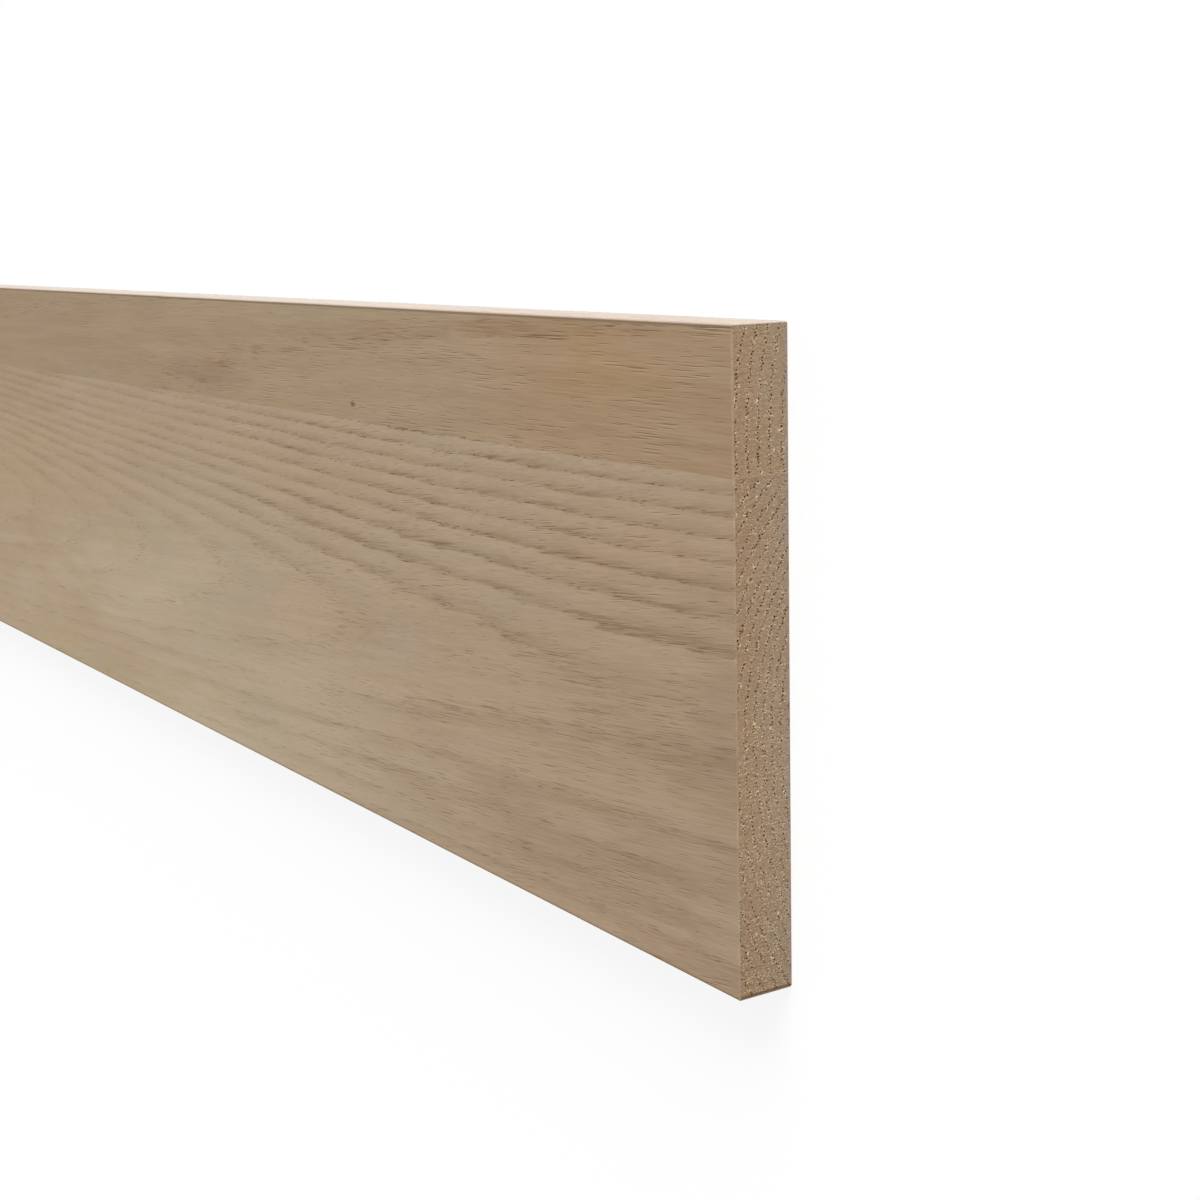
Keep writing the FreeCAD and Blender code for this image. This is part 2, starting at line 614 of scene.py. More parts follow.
def close_end(mesh, stave, outline, which, draw):
    """Triangles over one end, with pits where vessels were cut through."""
    flat_map = mesh.loops.layers.uv.verify()
    hollow = mesh.verts.layers.float["hollow"]
    tuft = mesh.verts.layers.float["tuft"]
    end_x = outline[0].co.x
    inward = -1 if end_x > 0 else 1
    inner = end_points(stave, end_x - right_end, draw)
    flat = [Vector((corner.co.y, corner.co.z)) for corner in outline]
    flat += [Vector((y, z)) for y, z, *_ in inner]
    loop_of_outline = list(range(len(outline)))
    spots, _, triangles, sources, _, _ = delaunay_2d_cdt(
        flat, [], [loop_of_outline], INSIDE_ONLY, same_point)
    corners = {}
    for i, source in enumerate(sources):
        if source and source[0] < len(outline):
            corners[i] = outline[source[0]]
        else:
            y, z, depth, is_hollow, is_tuft = inner[source[0] - len(outline)]
            corners[i] = mesh.verts.new((end_x + inward * depth, y, z))
            corners[i][hollow] = is_hollow
            corners[i][tuft] = is_tuft
    low_y = min(stave.outer_y, joint)
    for triangle in triangles:
        face = mesh.faces.new([corners[i] for i in triangle])
        face.material_index = SAWN
        face.smooth = False
        for loop in face.loops:
            spot = Vector((loop.vert.co.y - low_y, loop.vert.co.z)) * stave.map_scale["end"]
            loop[flat_map].uv = (stave.map_corners["end", which] + spot) / map_pixels


# %% Make the staves
def dress_stave(stave, seed):
    """The whole stave as an object, in metres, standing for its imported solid."""
    draw = random.Random(seed)
    mesh = bmesh.new()
    mesh.loops.layers.uv.new(map_name)
    mesh.verts.layers.float.new("hollow")
    mesh.verts.layers.float.new("tuft")
    left_outline, right_outline = sweep_sides(mesh, stave)
    close_end(mesh, stave, left_outline, 0, draw)
    close_end(mesh, stave, right_outline, 1, draw)
    bmesh.ops.recalc_face_normals(mesh, faces=mesh.faces)
    open_edges = sum(not edge.is_manifold for edge in mesh.edges)
    volume = mesh.calc_volume() / 1000
    bmesh.ops.scale(mesh, vec=(MM, MM, MM), verts=mesh.verts)
    data = bpy.data.meshes.new(f"{stave.node}_dressed")
    mesh.to_mesh(data)
    mesh.free()
    piece = bpy.data.objects.new(data.name, data)
    bpy.context.collection.objects.link(piece)
    triangles = sum(len(face.vertices) - 2 for face in data.polygons)
    print(f"{piece.name}: {triangles} triangles, {open_edges} open edges, {volume:.1f} cm3")
    return piece


for seed, stave in enumerate(staves):
    stave.piece = dress_stave(stave, seed + 5)
    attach(stave.piece, "root")
    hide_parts(stave.node)

# %% [markdown]
# ## Nodes with less writing
# Materials are wired from many small nodes. A few helpers keep that readable: one feeds a socket with
# a link or with a plain value, one adds a node, and others add a Math node, a smooth step or a mix and
# hand back its result. A window is a step up and then down again, and a veil is a colour laid over
# another by a share of a mask.

# %% Helpers for wiring nodes
def feed(tree, target, source):
    """Link one socket to another, or set a plain number, vector or colour on it."""
    if isinstance(source, bpy.types.NodeSocket):
        tree.links.new(source, target)
    else:
        target.default_value = source


def add_node(tree, kind, feeds=None, **settings):
    """Add a node, apply its settings, then feed its inputs by name or number."""
    made = tree.nodes.new(kind)
    for setting, value in settings.items():
        setattr(made, setting, value)
    for key, source in (feeds or {}).items():
        feed(tree, made.inputs[key], source)
    return made


def calc(tree, operation, *terms):
    """One Math node, handed back as its result."""
    return add_node(tree, "ShaderNodeMath", dict(enumerate(terms)), operation=operation).outputs[0]


def fade(tree, value, start, stop, low=0.0, high=1.0):
    """A smooth step from low to high while value goes from start to stop."""
    feeds = {"Value": value, "From Min": start, "From Max": stop, "To Min": low, "To Max": high}
    return add_node(tree, "ShaderNodeMapRange", feeds, interpolation_type="SMOOTHSTEP").outputs["Result"]


def window(tree, value, rise, fall):
    """A smooth step up while value crosses one pair, and down again while it crosses the other."""
    return calc(tree, "MULTIPLY", fade(tree, value, *rise), fade(tree, value, *fall, 1.0, 0.0))


# %% Helpers for colours and places
def tint(tree, amount, base, colour):
    """Mix a colour over another by an amount."""
    return add_node(tree, "ShaderNodeMix", {0: amount, 6: base, 7: colour}, data_type="RGBA").outputs[2]


def veil(tree, base, mask, share, colour):
    """Lay a colour over another by a share of a mask."""
    return tint(tree, calc(tree, "MULTIPLY", mask, share), base, colour)


def vector_of(tree, x, y, z):
    """Three numbers as one vector."""
    return add_node(tree, "ShaderNodeCombineXYZ", {0: x, 1: y, 2: z}).outputs[0]


def parts_of(tree, vector):
    """The X, Y and Z of a vector."""
    return add_node(tree, "ShaderNodeSeparateXYZ", {0: vector}).outputs


def times(tree, vector, factor):
    """A vector times a number."""
    return add_node(tree, "ShaderNodeVectorMath", {0: vector, "Scale": factor}, operation="SCALE").outputs[0]


def in_millimetres(tree, position):
    """A place in metres as the same place in millimetres."""
    return times(tree, position, 1 / MM)


def cloud(tree, place, fineness, detail, roughness=0.5):
    """Noise whose grains have a chosen fineness along X, Y and Z."""
    sized = add_node(tree, "ShaderNodeVectorMath", {0: place, 1: fineness}, operation="MULTIPLY").outputs[0]
    feeds = {"Vector": sized, "Scale": 1.0, "Detail": detail, "Roughness": roughness}
    return add_node(tree, "ShaderNodeTexNoise", feeds).outputs


# %% Helpers for node groups
def start_group(name, inputs, outputs):
    """A shader node group with named sockets. An input's default tells its kind: number or vector."""
    tree = bpy.data.node_groups.new(name, "ShaderNodeTree")
    for label, value in inputs.items():
        kind = "NodeSocketFloat" if isinstance(value, float) else "NodeSocketVector"
        tree.interface.new_socket(label, in_out="INPUT", socket_type=kind).default_value = value
    for label in outputs:
        tree.interface.new_socket(label, in_out="OUTPUT", socket_type="NodeSocketFloat")
    given = tree.nodes.new("NodeGroupInput").outputs
    result = tree.nodes.new("NodeGroupOutput").inputs
    return tree, given, result


def use_group(tree, group, feeds):
    """Place a group in a material with its own values."""
    placed = tree.nodes.new("ShaderNodeGroup")
    placed.node_tree = group
    for label, source in feeds.items():
        feed(tree, placed.inputs[label], source)
    return placed.outputs


def show_group(group):
    """Print the name of a finished group and of its sockets."""
    print("group:", group.name, [socket.name for socket in group.interface.items_tree])


# %% [markdown]
# ## The stave in its tree
# Wood has grain on every face because it was cut out of a log: the show face, the edges and the ends
# are cuts through the same rings. Painting stripes on each face would never agree round a corner.
# So each point of a stave is placed in its log: how far it lies from the pith, how far round it, and
# how far along. The trunk was slightly bowed, so its pith comes nearer to the board along its length,
# and that alone draws the pointed arches on the wide stave. The rings also wander, but less so close to
# the right end, where they must meet the rows of modelled holes. Away from that end the figure of the
# wood grows fainter, and several groups use the same fade for it.

# %% Node group: place in the log
mean_radius = 110.0
settled_within = 30.0
clear_until, faint_from = -150.0, -450.0
bend_fineness = (0.007, 0.035, 0.035)
fray_fineness = (0.022, 0.55, 0.55)
far_feather = 0.4


def towards_far_end(tree, along, near, far):
    """A value that goes from near to far where the figure of the wood grows fainter."""
    return fade(tree, along, clear_until, faint_from, near, far)


def build_place_in_log():
    tree, given, result = start_group(
        "Place in the log",
        {"Position": (0.0, 0.0, 0.0), "Right end X": 0.0, "Pith Y": 0.0, "Pith Z": 0.0,
         "Pith slope Y": 0.0, "Pith slope Z": 0.0, "Bow length": 360.0, "Bow Y": 0.0, "Bow Z": 0.0,
         "Upper squeeze": 1.0, "Lower squeeze": 1.0, "Squeeze gain": 0.0, "Grain slope": 0.0,
         "Wander": 0.5, "Feather": 0.5},
        ["Radius", "Around", "Across", "Along", "Depth"])
    here = in_millimetres(tree, given["Position"])
    place = parts_of(tree, here)
    along = calc(tree, "SUBTRACT", place["X"], given["Right end X"])
    spread = calc(tree, "MULTIPLY_ADD", along, along, calc(tree, "POWER", given["Bow length"], 2.0))
    bowed = calc(tree, "SUBTRACT", given["Bow length"], calc(tree, "SQRT", spread))
    straight_y = calc(tree, "MULTIPLY_ADD", along, given["Pith slope Y"], given["Pith Y"])
    straight_z = calc(tree, "MULTIPLY_ADD", along, given["Pith slope Z"], given["Pith Z"])
    pith_y = calc(tree, "MULTIPLY_ADD", bowed, given["Bow Y"], straight_y)
    pith_z = calc(tree, "MULTIPLY_ADD", bowed, given["Bow Z"], straight_z)
    from_pith_y = calc(tree, "SUBTRACT", place["Y"], pith_y)
    from_pith_z = calc(tree, "SUBTRACT", place["Z"], pith_z)
    side = calc(tree, "GREATER_THAN", from_pith_y, 0.0)
    squeezes = {0: side, 2: given["Lower squeeze"], 3: given["Upper squeeze"]}
    gain = calc(tree, "MULTIPLY_ADD", bowed, given["Squeeze gain"], 1.0)
    squeeze = calc(tree, "MULTIPLY", add_node(tree, "ShaderNodeMix", squeezes).outputs[0], gain)
    squeezed_y = calc(tree, "MULTIPLY", from_pith_y, squeeze)
    squares = calc(tree, "MULTIPLY_ADD", squeezed_y, squeezed_y, calc(tree, "POWER", from_pith_z, 2.0))
    true_radius = calc(tree, "SQRT", squares)
    around = calc(tree, "MULTIPLY", calc(tree, "ARCTAN2", from_pith_y, from_pith_z), mean_radius)
    across = calc(tree, "SUBTRACT", around, calc(tree, "MULTIPLY", along, given["Grain slope"]))
    with_grain = vector_of(tree, along, across, place["Z"])
    loose = fade(tree, along, 0.0, -settled_within)
    bend = calc(tree, "SUBTRACT", cloud(tree, here, bend_fineness, 2.0)[0], 0.5)
    fray = calc(tree, "SUBTRACT", cloud(tree, with_grain, fray_fineness, 2.0)[0], 0.5)
    feather = calc(tree, "MULTIPLY", given["Feather"], towards_far_end(tree, along, 1.0, far_feather))
    drift = calc(tree, "MULTIPLY_ADD", bend, given["Wander"], calc(tree, "MULTIPLY", fray, feather))
    feed(tree, result["Radius"], calc(tree, "MULTIPLY_ADD", drift, loose, true_radius))
    feed(tree, result["Around"], around)
    feed(tree, result["Across"], across)
    feed(tree, result["Along"], along)
    feed(tree, result["Depth"], place["Z"])
    return tree


place_in_log = build_place_in_log()
show_group(place_in_log)

# %% [markdown]
# ## One ring a year
# A ring-porous tree opens each spring with a band of wide vessels and closes the year with dense wood.
# The distance from the pith, counted in ring widths, gives the year and the season within it. Good and
# lean years come in spells, so a slow swing widens some rings and narrows others. The band is not
# equally dark everywhere: it is weak on one side of the pith, and it comes and goes along the grain.
# At the tips of the arches a cool, greyish band follows the spring wood.

# %% Node group: growth rings
band_full, band_fades, band_gone = (0.11, 0.09), (0.15, 0.06), (0.50, 0.12)
summer_season = (0.40, 0.80)
cool_season = ((0.24, 0.38), (0.42, 0.62))
cool_stretch = ((-120.0, -190.0), (-360.0, -520.0))
tip_reach = (6.0, 26.0)
above_pith, below_pith, dark_side = (2.0, 40.0), (-12.0, -40.0), (5.0, -12.0)
below_strength, dark_strength, far_strength = 0.30, 0.45, 0.45
dark_years_reach = 0.6
year_apart = 40.0
vigour_fineness, vigour_range = (0.014, 0.05, 1.0), (0.15, 1.35)
dash_fineness, dash_range = (0.05, 1.5, 1.0), (0.25, 1.35)


def build_growth_rings():
    tree, given, result = start_group(
        "Growth rings",
        {"Radius": 100.0, "Around": 0.0, "Across": 0.0, "Along": 0.0,
         "First ring": 96.0, "Ring width": 2.6, "Swing": 0.3,
         "Swing start": 99.0, "Swing length": 26.0, "Weak side": 0.4, "Dark years": -99.0},
        ["Year", "Season", "Spring", "Summer", "Strength", "Cool"])

    def counted(start, size):
        return calc(tree, "DIVIDE", calc(tree, "SUBTRACT", given["Radius"], given[start]), given[size])

    spell = calc(tree, "SINE", calc(tree, "MULTIPLY", counted("Swing start", "Swing length"), math.tau))
    swung = calc(tree, "MULTIPLY", spell, given["Swing"])
    years = calc(tree, "SUBTRACT", counted("First ring", "Ring width"), swung)
    season = calc(tree, "FRACT", years)
    year = calc(tree, "FLOOR", years)
    softness = towards_far_end(tree, given["Along"], 0.0, 1.0)

    def softened(moment):
        clear_season, delay = moment
        return calc(tree, "MULTIPLY_ADD", softness, delay, clear_season)

    in_band = window(tree, season, (0.0, softened(band_full)), (softened(band_fades), softened(band_gone)))
    above = fade(tree, given["Around"], *above_pith, given["Weak side"], 1.0)
    below = fade(tree, given["Around"], *below_pith, 0.0, below_strength)
    dark_below = fade(tree, given["Around"], *dark_side, 0.0, dark_strength)
    dark_year = calc(tree, "COMPARE", year, given["Dark years"], dark_years_reach)
    dark = calc(tree, "MULTIPLY", dark_year, dark_below)
    marked = calc(tree, "MAXIMUM", calc(tree, "MAXIMUM", above, below), dark)
    strength = calc(tree, "MULTIPLY", marked, towards_far_end(tree, given["Along"], 1.0, far_strength))
    spot = vector_of(tree, given["Along"], given["Across"], calc(tree, "MULTIPLY", year, year_apart))
    vigour = fade(tree, cloud(tree, spot, vigour_fineness, 2.0)[0], 0.30, 0.70, *vigour_range)
    dashes = fade(tree, cloud(tree, spot, dash_fineness, 2.0)[0], 0.36, 0.62, *dash_range)
    band = calc(tree, "MULTIPLY", in_band, dashes)
    at_tip = fade(tree, calc(tree, "ABSOLUTE", given["Around"]), *tip_reach, 1.0, 0.0)
    among_tips = calc(tree, "MULTIPLY", at_tip, window(tree, given["Along"], *cool_stretch))
    feed(tree, result["Cool"], calc(tree, "MULTIPLY", window(tree, season, *cool_season), among_tips))
    feed(tree, result["Year"], year)
    feed(tree, result["Season"], season)
    feed(tree, result["Strength"], strength)
    feed(tree, result["Summer"], calc(tree, "MULTIPLY", fade(tree, season, *summer_season), strength))
    feed(tree, result["Spring"], calc(tree, "MULTIPLY", band, calc(tree, "MULTIPLY", strength, vigour)))
    return tree


growth_rings = build_growth_rings()
show_group(growth_rings)

# %% [markdown]
# ## Open vessels
# A vessel is a tube along the grain, a third of a millimetre wide and many millimetres long. Cut
# across, it is a round pore; cut along, it is a short dark dash. Voronoi cells give both at once when
# they are squeezed across the grain and stretched along it. Spring vessels start afresh at each ring,
# so that their row follows it; the few summer vessels run straight along the grain and so show as long
# fine dashes. The lower lip of a dash catches the light, so the same tubes are asked for a second time,
# a little lower, and what sticks out under the dash is its lip.

# %% Node group: open vessels
lip_drop = 0.22
tube_randomness = 0.85
tube_lot, tube_bores = (0.1, 1.0), (0.35, 1.1)
tube_rim = (0.6, 1.0)
rows_apart = 17.0
spring_ends, late_bore = (0.10, 0.30), 0.05
cluster_fineness, cluster_range = (0.018, 0.09, 0.09), (0.40, 1.15)
far_filled = 0.35


def tubes(tree, place, bore):
    """How far each point lies from the middle of its own tube, counted in bores. No two bores agree."""
    feeds = {"Vector": place, "Scale": 1.0, "Randomness": tube_randomness}
    cells = add_node(tree, "ShaderNodeTexVoronoi", feeds, voronoi_dimensions="3D", feature="F1").outputs
    lot = add_node(tree, "ShaderNodeSeparateColor", {0: cells["Color"]}).outputs[0]
    ragged = calc(tree, "MULTIPLY", bore, fade(tree, lot, *tube_lot, *tube_bores))
    return calc(tree, "DIVIDE", cells["Distance"], ragged)


def build_open_vessels():
    tree, given, result = start_group(
        "Open vessels",
        {"Year": 0.0, "Season": 0.0, "Across": 0.0, "Along": 0.0, "Depth": 0.0, "Ring width": 2.6,
         "Spring spacing": 0.36, "Spring length": 30.0, "Spring bore": 0.37,
         "Summer spacing": 0.60, "Summer length": 40.0, "Summer bore": 0.28},
        ["Spring vessel", "Summer vessel", "Lip"])

    def scaled(place, size):
        return calc(tree, "DIVIDE", place, given[size])

    def inside(place, bore):
        return fade(tree, tubes(tree, place, bore), *tube_rim, 1.0, 0.0)

    def summer_place(across):
        return vector_of(tree, scaled(given["Depth"], "Summer spacing"), scaled(across, "Summer spacing"),
                         scaled(given["Along"], "Summer length"))

    depth_in_ring = scaled(calc(tree, "MULTIPLY", given["Season"], given["Ring width"]), "Spring spacing")
    row = calc(tree, "MULTIPLY_ADD", given["Year"], rows_apart, depth_in_ring)
    spring_place = vector_of(
        tree, row, scaled(given["Across"], "Spring spacing"), scaled(given["Along"], "Spring length"))
    spring_tube = fade(tree, given["Season"], *spring_ends, given["Spring bore"], late_bore)
    spot = vector_of(tree, given["Along"], given["Across"], given["Depth"])
    cluster = fade(tree, cloud(tree, spot, cluster_fineness, 2.0)[0], 0.35, 0.65, *cluster_range)
    summer_tube = calc(tree, "MULTIPLY", given["Summer bore"], cluster)
    spring = inside(spring_place, spring_tube)
    summer = inside(summer_place(given["Across"]), summer_tube)
    below = inside(summer_place(calc(tree, "ADD", given["Across"], lip_drop)), summer_tube)
    lip = calc(tree, "SUBTRACT", below, calc(tree, "MAXIMUM", spring, summer))
    filled = towards_far_end(tree, given["Along"], 1.0, far_filled)
    feed(tree, result["Spring vessel"], spring)
    feed(tree, result["Summer vessel"], calc(tree, "MULTIPLY", summer, filled))
    feed(tree, result["Lip"], calc(tree, "MULTIPLY", lip, filled))
    return tree


open_vessels = build_open_vessels()
show_group(open_vessels)

# %% [markdown]
# ## Fibre and tone
# Between the vessels the wood is fine fibre: a streaked noise, long along the grain and hair-thin
# across it, with broader streaks beneath. Over the whole board the tone drifts: one broad pale region,
# and soft patches some centimetres wide that lean to pinkish brown or to grey. All are masks, so they
# share one group.

# %% Node group: fibre and tone
patch_fineness = (0.03, 0.03, 0.0065)
thread_fineness, thread_roughness = (2.1, 2.1, 0.05), 0.62
streak_fineness = (0.22, 0.22, 0.010)
pale_ends, pale_at_far_end = (-430.0, -820.0), 0.35
pale_side = (75.0, -40.0)
warm_patch, grey_patch = (0.4, 0.65), (0.45, 0.70)
far_crispness = 0.5


def build_fibre_and_tone():
    tree, given, result = start_group(
        "Fibre and tone",
        {"Radius": 0.0, "Around": 0.0, "Across": 0.0, "Along": 0.0,
         "Pale from": -60.0, "Pale to": -400.0, "Pale least": 0.15},
        ["Fibre", "Streak", "Pale", "Warm", "Grey"])
    here = vector_of(tree, given["Radius"], given["Across"], given["Along"])
    patches = cloud(tree, here, patch_fineness, 2.0)["Color"]
    split = add_node(tree, "ShaderNodeSeparateColor", {0: patches}).outputs
    near = fade(tree, given["Along"], given["Pale from"], given["Pale to"])
    far = fade(tree, given["Along"], *pale_ends, 1.0, pale_at_far_end)
    side = fade(tree, given["Around"], *pale_side, given["Pale least"], 1.0)
    threads = calc(tree, "SUBTRACT", cloud(tree, here, thread_fineness, 3.0, thread_roughness)[0], 0.5)
    crispness = towards_far_end(tree, given["Along"], 1.0, far_crispness)
    streaks = cloud(tree, here, streak_fineness, 2.0)[0]
    feed(tree, result["Fibre"], calc(tree, "MULTIPLY_ADD", threads, crispness, 0.5))
    feed(tree, result["Streak"], fade(tree, streaks, 0.3, 0.7, -1.0, 1.0))
    feed(tree, result["Pale"], calc(tree, "MULTIPLY", calc(tree, "MULTIPLY", near, far), side))
    feed(tree, result["Warm"], fade(tree, split[0], *warm_patch))
    feed(tree, result["Grey"], fade(tree, split[1], *grey_patch))
    return tree


fibre_and_tone = build_fibre_and_tone()
show_group(fibre_and_tone)

# %% [markdown]
# ## Eased arrises
# Sandpaper breaks every outer corner of the board, and the scuffed fibre there is paler on the narrow
# stave. On the wide one the arrises are darkened instead, a painted shade that dims the light they
# catch. The distance to the nearest arris is the middle one of three distances: to the nearest end, edge
# and broad face. A box needs no painted mask for that, only the board's half sizes.

# %% Node group: arris wear
scuff_fineness = (0.35, 0.35, 0.35)
scuff_reach, scuff_strength = (0.45, 1.4), (0.2, 1.0)


def build_arris_wear():
    tree, given, result = start_group(
        "Arris wear",
        {"Position": (0.0, 0.0, 0.0), "Half length": length_mm / 2, "Half width": width_mm / 2,
         "Thickness": face_mm, "Reach": 0.8},
        ["Wear"])
    here = in_millimetres(tree, given["Position"])
    place = parts_of(tree, here)
    to_end = calc(tree, "SUBTRACT", given["Half length"], calc(tree, "ABSOLUTE", place["X"]))
    to_edge = calc(tree, "SUBTRACT", given["Half width"], calc(tree, "ABSOLUTE", place["Y"]))
    to_face = calc(tree, "MINIMUM", place["Z"], calc(tree, "SUBTRACT", given["Thickness"], place["Z"]))
    nearer = calc(tree, "MINIMUM", to_end, to_edge)
    farther = calc(tree, "MAXIMUM", to_end, to_edge)
    to_arris = calc(tree, "MAXIMUM", nearer, calc(tree, "MINIMUM", farther, to_face))
    scuffs = cloud(tree, here, scuff_fineness, 3.0)[0]
    reach = calc(tree, "MULTIPLY", given["Reach"], fade(tree, scuffs, 0.3, 0.7, *scuff_reach))
    scuffed = fade(tree, calc(tree, "DIVIDE", to_arris, reach), 0.2, 1.0, 1.0, 0.0)
    rubbed = fade(tree, scuffs, 0.42, 0.60, *scuff_strength)
    feed(tree, result["Wear"], calc(tree, "MULTIPLY", scuffed, rubbed))
    return tree


arris_wear = build_arris_wear()
show_group(arris_wear)

# %% [markdown]
# ## Stains and pin marks
# Wood is stained in places: a reddish patch beside the joint, a warm upper corner, a duller stretch
# towards the far end. Each stave also carries one small dark spot: a pin knot, where a twig started, on
# the narrow one, and a single fleck near the lower corner of the wide one. All are a distance from a
# centre with its rim roughened by noise: broad and soft for a stain, small and firm for a pin.

# %% Node group: stain
rim_fineness, rim_roughness = (0.4, 1.6, 1.6), (-0.4, 0.4)
stain_rim = 1.15
stain_ends = (0.35, 1.0)


def build_stain_mask():
    tree, given, result = start_group(
        "Stain",
        {"Position": (0.0, 0.0, 0.0), "Centre X": 0.0, "Centre Y": 0.0, "Half length": 1.0,
         "Half height": 1.0, "Core": 0.0, "Grain": 0.05, "Depth": 60.0, "Thickness": face_mm},
        ["Mask"])
    here = in_millimetres(tree, given["Position"])
    place = parts_of(tree, here)
    x = calc(tree, "DIVIDE", calc(tree, "SUBTRACT", place["X"], given["Centre X"]), given["Half length"])
    y = calc(tree, "DIVIDE", calc(tree, "SUBTRACT", place["Y"], given["Centre Y"]), given["Half height"])
    away = calc(tree, "SQRT", calc(tree, "MULTIPLY_ADD", x, x, calc(tree, "MULTIPLY", y, y)))
    grained = times(tree, here, given["Grain"])
    rough = fade(tree, cloud(tree, grained, rim_fineness, 2.0)[0], 0.3, 0.7, *rim_roughness)
    below_face = calc(tree, "SUBTRACT", given["Thickness"], place["Z"])
    reached = fade(tree, calc(tree, "DIVIDE", below_face, given["Depth"]), *stain_ends, 1.0, 0.0)
    spot = fade(tree, calc(tree, "ADD", away, rough), given["Core"], stain_rim, 1.0, 0.0)
    feed(tree, result["Mask"], calc(tree, "MULTIPLY", spot, reached))
    return tree


stain_mask = build_stain_mask()
show_group(stain_mask)

# %% [markdown]
# ## The outer edge
# The long outer edge of each stave was ripped and planed apart from the faces. Its colour holds painted
# light: a painted highlight makes the upper edge pale, nearly white behind its arris, and painted shade
# darkens the lower edge just at its arris. Three masks tell where the edge is, which part of it lies
# behind the arris, and where a thin darker line runs on the face just before it.

# %% Node group: outer edge
edge_begins = (-0.55, -0.25)
dark_line_begins = (-1.5, -0.9)
behind_arris = (0.97, 0.95)


def build_outer_edge():
    tree, given, result = start_group(
        "Outer edge",
        {"Position": (0.0, 0.0, 0.0), "Outer Y": 0.0, "Outward": 1.0, "Thickness": face_mm},
        ["Edge", "Back", "Arris"])
    place = parts_of(tree, in_millimetres(tree, given["Position"]))
    beyond = calc(tree, "MULTIPLY", calc(tree, "SUBTRACT", place["Y"], given["Outer Y"]), given["Outward"])
    front_share = calc(tree, "DIVIDE", place["Z"], given["Thickness"])
    edge = fade(tree, beyond, *edge_begins)
    feed(tree, result["Edge"], edge)
    feed(tree, result["Back"], fade(tree, front_share, *behind_arris))
    feed(tree, result["Arris"], calc(tree, "SUBTRACT", fade(tree, beyond, *dark_line_begins), edge))
    return tree


outer_edge = build_outer_edge()
show_group(outer_edge)

# %% [markdown]
# ## The saw's surface
# A cross-cut leaves crumbs of torn fibre all over the end, soft patches where the blade ran hotter, and
# a dull dusty rim where it broke out at the back. The back half of the end is greyer than the front, and
# its foot, towards the lower edge, is darker. Each of the five is a mask.

# %% Node group: sawn surface
blotch_fineness, ragged_fineness = (0.08, 0.08, 0.08), (0.28, 0.28, 0.28)
crumb_fineness, crumb_roughness = (3.2, 3.4, 1.0), 0.65
corner_lean = 0.25
foot_height = 60.0
back_half = (0.9, 0.2)
rim_cover = (0.45, 0.9)


def build_sawn_surface():
    tree, given, result = start_group(
        "Sawn surface",
        {"Position": (0.0, 0.0, 0.0), "Rim width": 2.2, "Lower Y": lower_edge, "Thickness": face_mm},
        ["Crumbs", "Patches", "Back half", "Back rim", "Low"])
    here = in_millimetres(tree, given["Position"])
    place = parts_of(tree, here)
    patches = cloud(tree, here, blotch_fineness, 2.0)[0]
    ragged = fade(tree, cloud(tree, here, ragged_fineness, 3.0)[0], 0.3, 0.7, -0.5, 0.5)
    from_lower = calc(tree, "SUBTRACT", place["Y"], given["Lower Y"])
    from_corner = calc(tree, "MULTIPLY_ADD", place["Z"], corner_lean, from_lower)
    from_back = calc(tree, "ADD", calc(tree, "MINIMUM", place["Z"], from_corner), ragged)
    rim = fade(tree, calc(tree, "DIVIDE", from_back, given["Rim width"]), 1.0, 0.0)
    front_share = calc(tree, "DIVIDE", place["Z"], given["Thickness"])
    feed(tree, result["Crumbs"], cloud(tree, here, crumb_fineness, 3.0, crumb_roughness)[0])
    feed(tree, result["Patches"], patches)
    feed(tree, result["Low"], fade(tree, from_lower, foot_height, 0.0))
    feed(tree, result["Back half"], fade(tree, front_share, *back_half))
    feed(tree, result["Back rim"], calc(tree, "MULTIPLY", rim, fade(tree, patches, 0.35, 0.6, *rim_cover)))
    return tree


sawn_surface = build_sawn_surface()
show_group(sawn_surface)

# %% [markdown]
# ## Planed wood and sawn wood
# The faces and edges are planed and sanded: smooth, matt, with vessels as fine open dashes whose lips
# catch the light, painted as a highlight. The ends are sawn: yellower, rougher, with pits and torn fibre
# that is raised and painted pale as a highlight. Each stave gets both finishes, from the same groups.

# %% Wood that both finishes share
dull_gloss = 0.12
one_level = (0.00504, 0.00416, 0.00326)


def start_material(name):
    """A dull material, with the place of each point in the piece's own metres."""
    material = bpy.data.materials.new(name)
    material.use_nodes = True
    tree = material.node_tree
    shader = tree.nodes["Principled BSDF"]
    shader.inputs["Specular IOR Level"].default_value = dull_gloss
    position = add_node(tree, "ShaderNodeTexCoord").outputs["Object"]
    return material, tree, shader, position


def wire_rings(tree, position, stave, looseness):
    """Place a stave in its log and give it rings. Hands back what both groups tell."""
    log = use_group(tree, place_in_log, {
        "Position": position, "Right end X": right_end, "Pith Y": stave.pith_y, "Pith Z": stave.pith_z,
        "Pith slope Y": stave.pith_slope_y, "Pith slope Z": stave.pith_slope_z,
        "Upper squeeze": stave.upper_squeeze, "Lower squeeze": stave.lower_squeeze,
        "Bow length": stave.bow_length, "Bow Y": stave.bow_y, "Bow Z": stave.bow_z,
        "Squeeze gain": stave.squeeze_gain, "Grain slope": stave.grain_slope,
        "Wander": stave.wander * looseness, "Feather": stave.feather * looseness})
    rings = use_group(tree, growth_rings, {
        "Radius": log["Radius"], "Around": log["Around"], "Across": log["Across"], "Along": log["Along"],
        "First ring": stave.first_ring, "Ring width": stave.ring_width, "Swing": stave.swing,
        "Swing start": stave.swing_start, "Swing length": stave.swing_length,
        "Weak side": stave.weak_side, "Dark years": stave.dark_years})
    return log, rings


